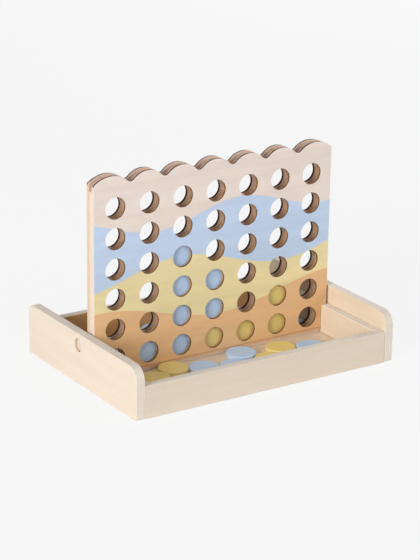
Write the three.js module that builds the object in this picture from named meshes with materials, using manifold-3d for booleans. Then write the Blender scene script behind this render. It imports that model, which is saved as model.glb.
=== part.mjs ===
// A wooden four-in-a-row game: an upright board of two perforated panels that stands in a
// storage tray, with a set of round wooden discs in two colours.
// Millimetres, +X along the board, +Y away from the player in front, +Z up.
// The origin lies under the middle of the board, on the surface that the tray stands on.

import * as THREE from 'three';
import { mergeVertices } from 'three/addons/utils/BufferGeometryUtils.js';
import Module from 'manifold-3d';

// The discs, which set the grid of the board
const DISC_DIAMETER = 29.8;
const DISC_THICKNESS = 5;
const DISC_EASED_EDGE = 0.6;
const DISC_SIDES = 18;
const DISC_STACK_GAP = 0.2;

// The grid of the board
const COLUMNS = 7;
const ROWS = 6;
const DIVIDER_WIDTH = 6;
const DISC_SIDE_CLEARANCE = 0.7;
const DISC_FACE_CLEARANCE = 0.25;
const ROW_SPARE = 0.2;
const HOLE_LIP = 4.15;
const HOLE_SIDES = 18;

// The panels of the board
const PANEL_THICKNESS = 3.8;
const PANEL_SIDE_MARGIN = 23.2;
const PANEL_BOTTOM_MARGIN = 16.5;
const PANEL_TOP_MARGIN = 23.6;
const PANEL_CORNER_RADIUS = 2.5;
const PANEL_CORNER_STEPS = 3;
const SCALLOP_HEIGHT = 8;
const SCALLOP_SPREAD = 0.8;
const SCALLOP_STEPS = 6;
const END_CREST_SHIFT = 1.2;
const END_CREST_DROP = 7;
const VALLEY_RADIUS = 5;
const VALLEY_STEPS = 3;

// The strips between the panels
const BOTTOM_STRIP_HEIGHT = 3;
const FOOT_CLEARANCE = 0.3;
const FOOT_END_CLEARANCE = 0.5;
const STRIP_TOP_DROP = 6;
const EDGE_STRIP_RECESS = 0.4;

// The tray
const WALL_THICKNESS = 9;
const WALL_HEIGHT = 32.5;
const FLOOR_THICKNESS = 3;
const COMPARTMENT_DEPTH = 86.45;
const END_HEIGHT = 51;
const END_THICKNESS = 9;
const END_TOP_RADIUS = 14;
const END_REAR_RADIUS = 8.5;
const END_FOOT_RADIUS = 3;
const CORNER_STEPS = 8;
const PLUG_DIAMETER = 13;
const PLUG_RECESS = 2;
const PLUG_HEIGHT = 39.2;
const PLUG_SHIFT = 4.6;
const PLUG_SIDES = 24;

// The slots of the tray that hold the ends of the board
const LEDGE_THICKNESS = 9;
const LEDGE_WEB = 2.5;
const BOARD_END_CLEARANCE = 2.2;
const BOARD_SLOT_CLEARANCE = 0.4;

// The loose discs in the tray
const LOOSE_GAP = 0.25;
const REAR_DISCS_ALONG = 8;
const REAR_SCATTER = 0.85;

// Sizes that follow from the ones above
const discRadius = DISC_DIAMETER / 2;
const columnPitch = DISC_DIAMETER + 2 * DISC_SIDE_CLEARANCE + DIVIDER_WIDTH;
const rowPitch = DISC_DIAMETER + ROW_SPARE;
const holeRadius = discRadius - HOLE_LIP;
const slotDepth = DISC_THICKNESS + 2 * DISC_FACE_CLEARANCE;
const boardThickness = slotDepth + 2 * PANEL_THICKNESS;
const boardWidth = (COLUMNS - 1) * columnPitch + 2 * PANEL_SIDE_MARGIN;
const boardBottom = FLOOR_THICKNESS + LEDGE_WEB;
const lowestRow = boardBottom + PANEL_BOTTOM_MARGIN;
const valleyHeight = lowestRow + (ROWS - 1) * rowPitch + PANEL_TOP_MARGIN;
const scallopPitch = columnPitch + SCALLOP_SPREAD;
const stripTop = valleyHeight - STRIP_TOP_DROP;
const stripBase = boardBottom + BOTTOM_STRIP_HEIGHT;
const endInside = boardWidth / 2 + BOARD_END_CLEARANCE;
const ledgeInside = endInside - LEDGE_THICKNESS;
const wallInside = boardThickness / 2 + COMPARTMENT_DEPTH;
const trayDepth = 2 * (wallInside + WALL_THICKNESS);
const looseHeight = FLOOR_THICKNESS + DISC_THICKNESS / 2;

// The finishes
const BIRCH_PLY = { color: 0xf2e2d0, roughness: 0.62, metalness: 0 };
const PRINTED_PLY = { color: 0xe2d0a8, roughness: 0.55, metalness: 0 };
const STRIP_WOOD = { color: 0xe9d9c6, roughness: 0.65, metalness: 0 };
const BLUE_PAINT = { color: 0xa5bcdc, roughness: 0.5, metalness: 0 };
const YELLOW_PAINT = { color: 0xd2bc64, roughness: 0.5, metalness: 0 };

const wasm = await Module();
wasm.setup();

const game = new THREE.Group();

function addPiece(name, geometry, finish) {
  const piece = new THREE.Mesh(geometry, new THREE.MeshStandardMaterial(finish));
  piece.name = name;
  game.add(piece);
  return piece;
}

// A closed geometry as a solid that can be cut
function toSolid(geometry) {
  const plain = geometry.clone();
  plain.deleteAttribute('normal');
  plain.deleteAttribute('uv');
  const merged = mergeVertices(plain);
  const solid = new wasm.Mesh({
    numProp: 3,
    vertProperties: new Float32Array(merged.attributes.position.array),
    triVerts: new Uint32Array(merged.index.array),
  });
  return new wasm.Manifold(solid);
}

function toGeometry(solid) {
  const mesh = solid.getMesh();
  const geometry = new THREE.BufferGeometry();
  geometry.setAttribute('position', new THREE.BufferAttribute(mesh.vertProperties, 3));
  geometry.setIndex(new THREE.BufferAttribute(mesh.triVerts, 1));
  return geometry;
}

// Points of an arc in a drawing plane, its last point left to the next arc
function arcPoints(centre, radius, from, to, steps) {
  const points = [];
  for (let step = 0; step < steps; step += 1) {
    const angle = from + (to - from) * step / steps;
    points.push(new THREE.Vector2(
      centre.x + radius * Math.cos(angle),
      centre.y + radius * Math.sin(angle),
    ));
  }
  return points;
}

// A plate drawn in X and Z, with its front face at a given Y
function standingPlate(outline, holes, thickness, frontY) {
  const shape = new THREE.Shape(outline);
  shape.holes = holes.map((points) => new THREE.Path(points));
  const plate = new THREE.ExtrudeGeometry(shape, { depth: thickness, bevelEnabled: false });
  plate.rotateX(Math.PI / 2);
  plate.translate(0, frontY + thickness, 0);
  return plate;
}

// A plate drawn in Y and Z, with its left face at a given X
function crossPlate(outline, thickness, leftX) {
  const shape = new THREE.Shape(outline);
  const plate = new THREE.ExtrudeGeometry(shape, { depth: thickness, bevelEnabled: false });
  plate.rotateX(Math.PI / 2);
  plate.rotateZ(Math.PI / 2);
  plate.translate(leftX, 0, 0);
  return plate;
}

// A bar between two corners
function bar(low, high) {
  const size = high.clone().sub(low);
  const middle = high.clone().add(low).multiplyScalar(0.5);
  const geometry = new THREE.BoxGeometry(size.x, size.y, size.z);
  geometry.translate(middle.x, middle.y, middle.z);
  return geometry;
}

// The place of a column's middle along the board, counted from the left
function columnX(column) {
  return (column - (COLUMNS - 1) / 2) * columnPitch;
}

// The side of a scallop: the slope where its crest meets the round valley, and the crest's radius
function scallopSide(reach) {
  const slope = 2 * Math.atan(SCALLOP_HEIGHT / reach);
  return { slope, radius: reach / Math.sin(slope) - VALLEY_RADIUS };
}

// The outline of a panel: straight sides and foot, and one round scallop over each column, with a
// round valley between every two. The crest of an end scallop lies a little farther out, and its
// outer half runs to a round corner at the side of the panel.
function panelOutline() {
  const up = Math.PI / 2;
  const halfWidth = boardWidth / 2;
  const crestHeight = valleyHeight + SCALLOP_HEIGHT;
  const lastMiddle = (COLUMNS - 1) * scallopPitch / 2;
  const endMiddle = lastMiddle + END_CREST_SHIFT;
  const inner = scallopSide(scallopPitch / 2);
  const end = scallopSide(scallopPitch / 2 + END_CREST_SHIFT);
  const endReach = halfWidth - endMiddle;
  const endRadius = (endReach ** 2 + END_CREST_DROP ** 2) / (2 * END_CREST_DROP);
  const cornerAcross = endReach - PANEL_CORNER_RADIUS;
  const cornerUp = Math.sqrt((endRadius - PANEL_CORNER_RADIUS) ** 2 - cornerAcross ** 2);
  const cornerHeight = crestHeight - endRadius + cornerUp;
  const cornerAngle = Math.atan2(cornerUp, cornerAcross);

  // Part of a crest, from one angle to another, both counted to the left of straight up
  const crest = (middle, radius, from, to) => arcPoints(
    new THREE.Vector2(middle, crestHeight - radius),
    radius,
    up + from,
    up + to,
    SCALLOP_STEPS,
  );
  const valley = (middle, rightSlope, leftSlope) => arcPoints(
    new THREE.Vector2(middle, valleyHeight + VALLEY_RADIUS),
    VALLEY_RADIUS,
    rightSlope - up,
    -leftSlope - up,
    VALLEY_STEPS,
  );
  const corner = (side, from, to) => arcPoints(
    new THREE.Vector2(side * (endMiddle + cornerAcross), cornerHeight),
    PANEL_CORNER_RADIUS,
    from,
    to,
    PANEL_CORNER_STEPS,
  );

  const points = [
    new THREE.Vector2(-halfWidth, boardBottom),
    new THREE.Vector2(halfWidth, boardBottom),
    ...corner(1, 0, cornerAngle),
    ...crest(endMiddle, endRadius, cornerAngle - up, 0),
    ...crest(endMiddle, end.radius, 0, end.slope),
    ...valley(lastMiddle - scallopPitch / 2, end.slope, inner.slope),
  ];
  for (let scallop = 1; scallop < COLUMNS - 1; scallop += 1) {
    const middle = lastMiddle - scallop * scallopPitch;
    const next = scallop === COLUMNS - 2 ? end : inner;
    points.push(
      ...crest(middle, inner.radius, -inner.slope, inner.slope),
      ...valley(middle - scallopPitch / 2, inner.slope, next.slope),
    );
  }
  points.push(
    ...crest(-endMiddle, end.radius, -end.slope, 0),
    ...crest(-endMiddle, endRadius, 0, up - cornerAngle),
    ...corner(-1, Math.PI - cornerAngle, Math.PI),
    new THREE.Vector2(-halfWidth, cornerHeight),
  );
  return points;
}

function panelHoles() {
  const holes = [];
  for (let column = 0; column < COLUMNS; column += 1) {
    for (let row = 0; row < ROWS; row += 1) {
      const centre = new THREE.Vector2(columnX(column), lowestRow + row * rowPitch);
      holes.push(arcPoints(centre, holeRadius, 0, 2 * Math.PI, HOLE_SIDES));
    }
  }
  return holes;
}

function addBoard() {
  const outline = panelOutline();
  const holes = panelHoles();
  const frontY = -boardThickness / 2;
  const rearY = boardThickness / 2 - PANEL_THICKNESS;
  addPiece('board_panel_front', standingPlate(outline, holes, PANEL_THICKNESS, frontY), PRINTED_PLY);
  addPiece('board_panel_rear', standingPlate(outline, holes, PANEL_THICKNESS, rearY), PRINTED_PLY);

  const strip = (fromX, toX, fromZ, toZ) => bar(
    new THREE.Vector3(fromX, -slotDepth / 2, fromZ),
    new THREE.Vector3(toX, slotDepth / 2, toZ),
  );
  const edgeOutside = boardWidth / 2 - EDGE_STRIP_RECESS;
  const edgeInside = columnX(COLUMNS - 1) + (columnPitch - DIVIDER_WIDTH) / 2;
  // The bottom strip reaches down below the panels, between the two ledges and almost to the floor
  const footHalf = Math.min(edgeInside, ledgeInside - FOOT_END_CLEARANCE);
  const footBottom = FLOOR_THICKNESS + FOOT_CLEARANCE;
  addPiece('board_strip_bottom', strip(-footHalf, footHalf, footBottom, stripBase), STRIP_WOOD);
  addPiece('board_strip_left', strip(-edgeOutside, -edgeInside, boardBottom, stripTop), STRIP_WOOD);
  addPiece('board_strip_right', strip(edgeInside, edgeOutside, boardBottom, stripTop), STRIP_WOOD);
  for (let divider = 1; divider < COLUMNS; divider += 1) {
    const middle = (columnX(divider - 1) + columnX(divider)) / 2;
    const fromX = middle - DIVIDER_WIDTH / 2;
    const toX = middle + DIVIDER_WIDTH / 2;
    addPiece(`board_divider_${divider}`, strip(fromX, toX, stripBase, stripTop), STRIP_WOOD);
  }
}

// An end panel's outline: a large round corner at the top in front, a smaller one at the top at
// the rear and small ones at the foot
function endOutline() {
  const half = trayDepth / 2;
  const corner = (y, z, radius, from) => arcPoints(
    new THREE.Vector2(y, z),
    radius,
    from,
    from + Math.PI / 2,
    CORNER_STEPS,
  ).concat(new THREE.Vector2(
    y + radius * Math.cos(from + Math.PI / 2),
    z + radius * Math.sin(from + Math.PI / 2),
  ));
  return [
    ...corner(half - END_FOOT_RADIUS, END_FOOT_RADIUS, END_FOOT_RADIUS, -Math.PI / 2),
    ...corner(half - END_REAR_RADIUS, END_HEIGHT - END_REAR_RADIUS, END_REAR_RADIUS, 0),
    ...corner(END_TOP_RADIUS - half, END_HEIGHT - END_TOP_RADIUS, END_TOP_RADIUS, Math.PI / 2),
    ...corner(END_FOOT_RADIUS - half, END_FOOT_RADIUS, END_FOOT_RADIUS, Math.PI),
  ];
}

// An end panel with the round plug sunk into its outer face
function endPanel(side) {
  const leftX = side < 0 ? -endInside - END_THICKNESS : endInside;
  const panel = crossPlate(endOutline(), END_THICKNESS, leftX);
  const cutter = new THREE.CylinderGeometry(
    PLUG_DIAMETER / 2,
    PLUG_DIAMETER / 2,
    2 * PLUG_RECESS,
    PLUG_SIDES,
  );
  cutter.rotateZ(Math.PI / 2);
  cutter.translate(side * (endInside + END_THICKNESS), PLUG_SHIFT, PLUG_HEIGHT);
  return toGeometry(toSolid(panel).subtract(toSolid(cutter)));
}

// A ledge along the inside of an end panel, with the slot that the end of the board drops into
function ledgeOutline() {
  const halfSlot = boardThickness / 2 + BOARD_SLOT_CLEARANCE;
  return [
    new THREE.Vector2(-wallInside, FLOOR_THICKNESS),
    new THREE.Vector2(wallInside, FLOOR_THICKNESS),
    new THREE.Vector2(wallInside, WALL_HEIGHT),
    new THREE.Vector2(halfSlot, WALL_HEIGHT),
    new THREE.Vector2(halfSlot, boardBottom),
    new THREE.Vector2(-halfSlot, boardBottom),
    new THREE.Vector2(-halfSlot, WALL_HEIGHT),
    new THREE.Vector2(-wallInside, WALL_HEIGHT),
  ];
}

function addTray() {
  addPiece('tray_floor', bar(
    new THREE.Vector3(-endInside, -wallInside, 0),
    new THREE.Vector3(endInside, wallInside, FLOOR_THICKNESS),
  ), BIRCH_PLY);
  addPiece('tray_wall_front', bar(
    new THREE.Vector3(-endInside, -wallInside - WALL_THICKNESS, 0),
    new THREE.Vector3(endInside, -wallInside, WALL_HEIGHT),
  ), BIRCH_PLY);
  addPiece('tray_wall_rear', bar(
    new THREE.Vector3(-endInside, wallInside, 0),
    new THREE.Vector3(endInside, wallInside + WALL_THICKNESS, WALL_HEIGHT),
  ), BIRCH_PLY);
  addPiece('end_panel_left', endPanel(-1), BIRCH_PLY);
  addPiece('end_panel_right', endPanel(1), BIRCH_PLY);
  addPiece('ledge_left', crossPlate(ledgeOutline(), LEDGE_THICKNESS, -endInside), BIRCH_PLY);
  addPiece('ledge_right', crossPlate(ledgeOutline(), LEDGE_THICKNESS, ledgeInside), BIRCH_PLY);
}

// A disc with eased edges, turned about Y
function discGeometry() {
  const half = DISC_THICKNESS / 2;
  const flat = discRadius - DISC_EASED_EDGE;
  const profile = [
    new THREE.Vector2(0, -half),
    new THREE.Vector2(flat, -half),
    new THREE.Vector2(discRadius, DISC_EASED_EDGE - half),
    new THREE.Vector2(discRadius, half - DISC_EASED_EDGE),
    new THREE.Vector2(flat, half),
    new THREE.Vector2(0, half),
  ];
  return new THREE.LatheGeometry(profile, DISC_SIDES);
}

const discCounts = { blue: 0, yellow: 0 };

function addDisc(colour, place, lyingFlat) {
  discCounts[colour] += 1;
  const name = `disc_${colour}_${String(discCounts[colour]).padStart(2, '0')}`;
  const disc = addPiece(name, discGeometry(), colour === 'blue' ? BLUE_PAINT : YELLOW_PAINT);
  disc.position.copy(place);
  if (lyingFlat) {
    disc.rotation.x = Math.PI / 2;
  }
}

// The game in play: the discs of each column, from the bottom up
const PLAYED = [
  [],
  ['blue'],
  ['blue', 'blue', 'blue', 'blue'],
  ['yellow', 'blue', 'blue'],
  ['yellow'],
  ['yellow', 'yellow'],
  [],
];

function addPlayedDiscs() {
  const lowest = stripBase + DISC_STACK_GAP + discRadius;
  const step = DISC_DIAMETER + DISC_STACK_GAP;
  PLAYED.forEach((colours, column) => {
    colours.forEach((colour, level) => {
      addDisc(colour, new THREE.Vector3(columnX(column), 0, lowest + level * step), false);
    });
  });
}

// Loose discs in the front compartment. Along the board they are placed in column pitches from
// its middle. Those by the board are placed in disc diameters out from its face, and those by
// the front wall touch it but for the gap.
const FRONT_BY_BOARD = [
  { colour: 'yellow', along: -2.27, out: 0.95 },
  { colour: 'yellow', along: -1.52, out: 0.515 },
  { colour: 'blue', along: -0.79, out: 0.97 },
  { colour: 'blue', along: -0.03, out: 1.36 },
  { colour: 'blue', along: 0.59, out: 0.515 },
  { colour: 'yellow', along: 1.02, out: 1.42 },
  { colour: 'yellow', along: 1.71, out: 0.77 },
  { colour: 'blue', along: 2.46, out: 1.21 },
];
const FRONT_BY_WALL = [
  { colour: 'blue', along: -2.85 },
  { colour: 'yellow', along: -1.5 },
  { colour: 'yellow', along: 1.85 },
  { colour: 'yellow', along: 2.88 },
];

function addFrontDiscs() {
  FRONT_BY_BOARD.forEach(({ colour, along, out }) => {
    const y = -boardThickness / 2 - out * DISC_DIAMETER;
    addDisc(colour, new THREE.Vector3(along * columnPitch, y, looseHeight), true);
  });
  FRONT_BY_WALL.forEach(({ colour, along }) => {
    const y = LOOSE_GAP + discRadius - wallInside;
    addDisc(colour, new THREE.Vector3(along * columnPitch, y, looseHeight), true);
  });
}

// Loose discs in the rear compartment: two scattered rows, and a few that lie on others
const REAR_BY_BOARD = ['yellow', 'blue', 'yellow', 'blue', 'yellow', 'yellow', 'blue', 'blue'];
const REAR_BY_WALL = ['yellow', 'blue', 'yellow', 'blue', 'blue', 'yellow', 'blue', 'yellow'];
const REAR_ON_TOP = [
  { colour: 'yellow', cell: 2, row: 0 },
  { colour: 'blue', cell: 5, row: 1 },
  { colour: 'yellow', cell: 6, row: 0 },
];

function rearPlace(cell, row, layer) {
  const cellLength = 2 * ledgeInside / REAR_DISCS_ALONG;
  const cellDepth = COMPARTMENT_DEPTH / 2;
  const roomX = REAR_SCATTER * ((cellLength - DISC_DIAMETER) / 2 - LOOSE_GAP);
  const roomY = REAR_SCATTER * ((cellDepth - DISC_DIAMETER) / 2 - LOOSE_GAP);
  const seed = cell + REAR_DISCS_ALONG * (row + 2 * layer);
  return new THREE.Vector3(
    (cell + 0.5) * cellLength - ledgeInside + roomX * Math.sin(5.1 * seed + 1),
    boardThickness / 2 + (row + 0.5) * cellDepth + roomY * Math.cos(2.3 * seed),
    looseHeight + layer * DISC_THICKNESS,
  );
}

function addRearDiscs() {
  [REAR_BY_BOARD, REAR_BY_WALL].forEach((colours, row) => {
    colours.forEach((colour, cell) => {
      addDisc(colour, rearPlace(cell, row, 0), true);
    });
  });
  REAR_ON_TOP.forEach(({ colour, cell, row }) => {
    addDisc(colour, rearPlace(cell, row, 1), true);
  });
}

addTray();
addBoard();
addPlayedDiscs();
addFrontDiscs();
addRearDiscs();

export default game;
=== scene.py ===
"""A wooden four-in-a-row game, dressed for a studio picture.

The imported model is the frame: each piece here stands where its solid stands, rides on the body
of that solid and takes its place from the frame's boxes. Lengths are in metres. +X runs along
the board, +Y away from the player in front and +Z up.
"""

import logging
import math
from collections.abc import Sequence
from dataclasses import dataclass, field
from enum import Enum, IntEnum
from itertools import cycle
from typing import ClassVar

import bmesh
import bpy
import numpy as np
from bpy.types import Material, Mesh, Node, NodeSocket, NodeTree, Object
from mathutils import Matrix, Vector


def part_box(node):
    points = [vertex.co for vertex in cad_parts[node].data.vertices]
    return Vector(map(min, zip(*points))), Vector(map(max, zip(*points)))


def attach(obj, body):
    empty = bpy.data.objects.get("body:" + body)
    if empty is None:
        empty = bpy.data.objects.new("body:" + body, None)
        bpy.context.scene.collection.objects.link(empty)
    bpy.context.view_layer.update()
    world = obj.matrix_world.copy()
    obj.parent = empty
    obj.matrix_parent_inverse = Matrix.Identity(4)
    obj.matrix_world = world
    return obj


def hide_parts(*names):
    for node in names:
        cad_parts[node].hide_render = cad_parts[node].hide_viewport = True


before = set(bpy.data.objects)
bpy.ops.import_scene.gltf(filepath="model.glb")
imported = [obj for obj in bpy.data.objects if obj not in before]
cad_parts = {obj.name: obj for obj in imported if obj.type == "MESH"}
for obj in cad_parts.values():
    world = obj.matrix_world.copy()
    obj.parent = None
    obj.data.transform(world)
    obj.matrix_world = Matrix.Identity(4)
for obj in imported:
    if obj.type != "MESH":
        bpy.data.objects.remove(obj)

log = logging.getLogger("four_in_a_row")

MM = 0.001
WELD = 1e-7
GRAIN = "grain_at"
TONE = "disc_tone"
RIM = "disc_rim"


class Axis(IntEnum):
    """The three axes of the frame."""

    X = 0
    Y = 1
    Z = 2


class Run(Enum):
    """How the wood of a piece runs: the axes along its fibres, across them and through it."""

    FLAT = (Axis.X, Axis.Y, Axis.Z)
    LONG = (Axis.X, Axis.Z, Axis.Y)
    DEEP = (Axis.Y, Axis.Z, Axis.X)
    TALL = (Axis.Z, Axis.X, Axis.Y)

    @property
    def through(self) -> Axis:
        """The axis of the thickness."""
        return self.value[2]


class BoardFace(IntEnum):
    """The material slots of a panel of the upright board."""

    PRINT = 0
    RAW = 1
    HOLE = 2
    SIDE = 3
    CREST = 4


class TrayFace(IntEnum):
    """The material slots of a plywood piece of the tray."""

    VENEER = 0
    EDGE = 1
    PLUG = 2
    # The next slot gives the faces inside the tray a warmer, more saturated copy of the veneer: painted
    # shade.
    INSIDE = 3
    # The next slot gives the rear wall's inner face a browner, darker copy of the veneer: painted deep
    # shade behind the board.
    BROWN = 4


class DiscColour(Enum):
    """The two sides of the game."""

    BLUE = "blue"
    YELLOW = "yellow"


# Points and lines


def lifted(points: np.ndarray, axis: Axis, level: float) -> np.ndarray:
    """Points with one more coordinate: the level goes in at the axis, the others keep their order.

    Args:
        points: Points of a line or of a drawing, with their coordinates as the last length.
        axis: The axis that they lack.
        level: The place along it.

    Returns:
        The points, with that length one greater.
    """
    return np.insert(points, int(axis), level, axis=-1)


def span(node: str) -> tuple[np.ndarray, np.ndarray]:
    """The lowest and the highest corner of a solid of the frame."""
    low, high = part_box(node)
    return np.array(low), np.array(high)


def flat_span(node: str, axis: Axis) -> tuple[np.ndarray, np.ndarray]:
    """The lowest and the highest corner of a solid, seen along an axis."""
    low, high = span(node)
    return np.delete(low, int(axis)), np.delete(high, int(axis))


def grid(across: Sequence[float], up: Sequence[float]) -> np.ndarray:
    """The points of a rectangular grid, rows by columns by 2."""
    return np.stack(np.meshgrid(across, up), axis=-1)


def directions(angles: np.ndarray) -> np.ndarray:
    """The cosine and the sine of each angle, in radians."""
    return np.stack([np.cos(angles), np.sin(angles)], axis=-1)


def divided(stops: Sequence[float], steps: int) -> np.ndarray:
    """Numbers at even steps from each stop to the next, both ends included."""
    count = len(stops)
    return np.interp(np.arange((count - 1) * steps + 1) / steps, np.arange(count), stops)


def arc(centre: Sequence[float], radius: float, start: float, end: float, steps: int) -> np.ndarray:
    """Points of an arc: the centre plus the radius at even angles, both ends included.

    Args:
        centre: The middle of the arc.
        radius: Its radius.
        start: The first angle, in degrees.
        end: The last angle, in degrees.
        steps: The number of steps between them.

    Returns:
        The points, steps + 1 by 2.
    """
    return np.asarray(centre) + radius * directions(np.radians(np.linspace(start, end, steps + 1)))


def joined(*lines: np.ndarray) -> np.ndarray:
    """Lines that meet end to end as one, each later one without its first point."""
    return np.concatenate([lines[0], *(line[1:] for line in lines[1:])])


def turned(profile: np.ndarray, angles: np.ndarray, axis: Axis, centre: np.ndarray) -> np.ndarray:
    """A profile turned about an axis: radius times cosine and sine, and height along the axis.

    Args:
        profile: Radius and height of each point, n by 2.
        angles: The angles of the turn, in radians, the last one equal to the first for a full turn.
        axis: The axis of the turn.
        centre: The point of the axis at height 0.

    Returns:
        The grid, n by the number of angles by 3.
    """
    surface = lifted(profile[:, None, :1] * directions(angles), axis, 0.0)
    surface[..., int(axis)] = profile[:, 1:]
    return surface + centre


# Surfaces and meshes


@dataclass
class Patch:
    """A grid of points and the material slot of its faces.

    Attributes:
        points: The grid, rows by columns by 3.
        slot: The material slot.
    """

    points: np.ndarray
    slot: int = 0

    def corners(self) -> np.ndarray:
        """The faces of the grid.

        Returns:
            The four point numbers of each face.
        """
        rows, columns = self.points.shape[:2]
        number = np.arange(rows * columns).reshape(rows, columns)
        faces = (number[:-1, :-1], number[:-1, 1:], number[1:, 1:], number[1:, :-1])
        return np.stack(faces, axis=-1).reshape(-1, 4)


@dataclass
class Edge:
    """A stretch of a flat drawing's edge and the material slot of the wall that it makes.

    Attributes:
        line: The points in order, n by 2.
        slot: The material slot.
    """

    line: np.ndarray
    slot: int = 0


@dataclass
class Drawing:
    """A flat region: grids that fill it, and the edges that bound it.

    Attributes:
        fills: Grids of points, each rows by columns by 2.
        edges: All edges of the region, those of its holes among them.
    """

    fills: list[np.ndarray]
    edges: list[Edge]

    def plate(self, node: str, axis: Axis, slots: tuple[int, int] = (0, 0)) -> list[Patch]:
        """The drawing carried through a solid: its fills at both faces, and a wall along each edge.

        Args:
            node: The solid.
            axis: The axis of the thickness.
            slots: The material slots of the lower and the upper face.

        Returns:
            The patches of a closed plate.
        """
        low, high = (corner[axis] for corner in span(node))
        patches = []
        for fill in self.fills:
            patches.append(Patch(lifted(fill, axis, low), slots[0]))
            patches.append(Patch(lifted(fill, axis, high), slots[1]))
        for edge in self.edges:
            wall = np.stack([lifted(edge.line, axis, low), lifted(edge.line, axis, high)])
            patches.append(Patch(wall, edge.slot))
        return patches


def block(node: str, axis: Axis, slot: int = 0) -> Drawing:
    """The rectangle of a plain solid seen along an axis, as one grid of four points.

    Args:
        node: The solid.
        axis: The axis that it is seen along.
        slot: The material slot of its edges.

    Returns:
        The drawing.
    """
    fill = grid(*zip(*flat_span(node, axis)))
    loop = fill.reshape(-1, 2)[[0, 1, 3, 2, 0]]
    return Drawing([fill], [Edge(loop, slot)])


def make_mesh(name: str, patches: list[Patch]) -> Mesh:
    """Patches joined to one mesh.

    Points that lie together become one, and a face's corner that equals the one before it goes,
    so that a grid's pole closes to triangles. The faces are then turned outwards.

    Args:
        name: The name of the mesh.
        patches: The patches, which meet point to point.

    Returns:
        The mesh.
    """
    points = np.concatenate([patch.points.reshape(-1, 3) for patch in patches])
    sizes = [patch.points[..., 0].size for patch in patches]
    starts = np.cumsum([0, *sizes[:-1]])
    quads = np.concatenate([patch.corners() + start for patch, start in zip(patches, starts)])
    slots = np.concatenate([np.full(len(patch.corners()), patch.slot) for patch in patches])
    keys = np.round(points / WELD).astype(np.int64)
    _, first, merged = np.unique(keys, axis=0, return_index=True, return_inverse=True)
    corners = merged.reshape(-1)[quads]
    kept = corners != np.roll(corners, 1, axis=1)
    whole = kept.sum(axis=1) > 2
    counts = kept[whole].sum(axis=1)
    faces = np.split(corners[whole][kept[whole]], np.cumsum(counts)[:-1])
    mesh = bpy.data.meshes.new(name)
    mesh.from_pydata(points[first].tolist(), [], [face.tolist() for face in faces])
    mesh.polygons.foreach_set("material_index", slots[whole].astype(np.int32))
    mesh.polygons.foreach_set("use_smooth", np.ones(len(faces), dtype=bool))
    shell = bmesh.new()
    shell.from_mesh(mesh)
    bmesh.ops.recalc_face_normals(shell, faces=shell.faces)
    shell.to_mesh(mesh)
    shell.free()
    return mesh


def mesh_points(mesh: Mesh) -> np.ndarray:
    """The points of a mesh.

    Args:
        mesh: The mesh.

    Returns:
        The points, n by 3.
    """
    flat = np.empty(3 * len(mesh.vertices), dtype=np.float32)
    mesh.vertices.foreach_get("co", flat)
    return flat.reshape(-1, 3).astype(float)


def write_attribute(mesh: Mesh, name: str, values: np.ndarray) -> None:
    """Keeps a number or a vector for each point of a mesh.

    Args:
        mesh: The mesh.
        name: The attribute's name.
        values: A number for each point, or a row of three.
    """
    kind, key = ("FLOAT", "value") if values.ndim == 1 else ("FLOAT_VECTOR", "vector")
    layer = mesh.attributes.new(name, kind, "POINT")
    layer.data.foreach_set(key, values.astype(np.float32).ravel())


@dataclass
class Piece:
    """A piece of the game, on its way from patches to a dressed object.

    Attributes:
        node: The solid that it stands for.
        body: The body that it rides on.
        mesh: Its mesh.
        eased: The width of its eased edges, or 0 where the mesh has them.
        eased_steps: The steps of an eased edge.
        sharp: The angle from which an edge is eased, in degrees.
    """

    node: str
    body: str
    mesh: Mesh
    eased: float = 0.0
    eased_steps: int = 3
    sharp: float = 40.0

    def dress(self, finishes: Sequence[Material], slot: str) -> Object:
        """Makes the object, gives it its finishes and ties it to the frame.

        Args:
            finishes: The materials, in the order of the mesh's slots.
            slot: Not used.

        Returns:
            The finished object.
        """
        piece = bpy.data.objects.new(f"{self.node}_finished", self.mesh)
        bpy.context.scene.collection.objects.link(piece)
        for finish in finishes:
            self.mesh.materials.append(finish)
        if self.eased > 0.0:
            bevel = piece.modifiers.new("eased_edges", "BEVEL")
            bevel.width = self.eased
            bevel.segments = self.eased_steps
            bevel.limit_method = "ANGLE"
            bevel.angle_limit = math.radians(self.sharp)
            bevel.harden_normals = True
        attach(piece, self.body)
        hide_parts(self.node)
        return piece


@dataclass
class Timber:
    """The wooden pieces of a body that are cut from the same stuff.

    Attributes:
        body: The body that they ride on.
        slot: A name for the pieces' material slot.
        eased: The width of their eased edges.
        step: How far apart they are cut along the trunk, so that no two look alike.
        side_step: How far apart they are cut across it, for each length along it.
        pieces: The pieces so far.
    """

    body: str
    slot: str
    eased: float
    step: float
    side_step: float = 1.7
    pieces: list[Piece] = field(default_factory=list)

    def add(
        self, node: str, patches: list[Patch], run: Run, start: np.ndarray | None = None, sense: float = 1.0
    ) -> None:
        """Makes the mesh of a piece and writes its grain: lengths along, across and through the wood.

        Args:
            node: The solid that it stands for.
            patches: Its surface.
            run: How its wood runs.
            start: The corner that the grain is measured from, if it isn't the lowest one.
            sense: 1 or -1, the way in which the depth is counted.
        """
        mesh = make_mesh(node, patches)
        corner = span(node)[0] if start is None else start
        local = (mesh_points(mesh) - corner)[:, list(run.value)] * (1.0, 1.0, sense)
        shift = self.step * (len(self.pieces) + 1)
        write_attribute(mesh, GRAIN, local + (shift, self.side_step * shift, 0.0))
        self.pieces.append(Piece(node, self.body, mesh, self.eased))

    def dress(self, *choices: Sequence[Material]) -> list[Object]:
        """Dresses each piece with the next choice of finishes, from the first again after the last."""
        return [piece.dress(finishes, self.slot) for piece, finishes in zip(self.pieces, cycle(choices))]


# Node trees


@dataclass(frozen=True)
class Noise:
    """A kind of noise in the wood.

    Attributes:
        waves: The number of waves a metre, along, across and through the wood.
        detail: How many finer octaves it has.
        share: How strong each octave is beside the one before it.
    """

    waves: tuple[float, float, float]
    detail: float
    share: float = 0.55


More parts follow.
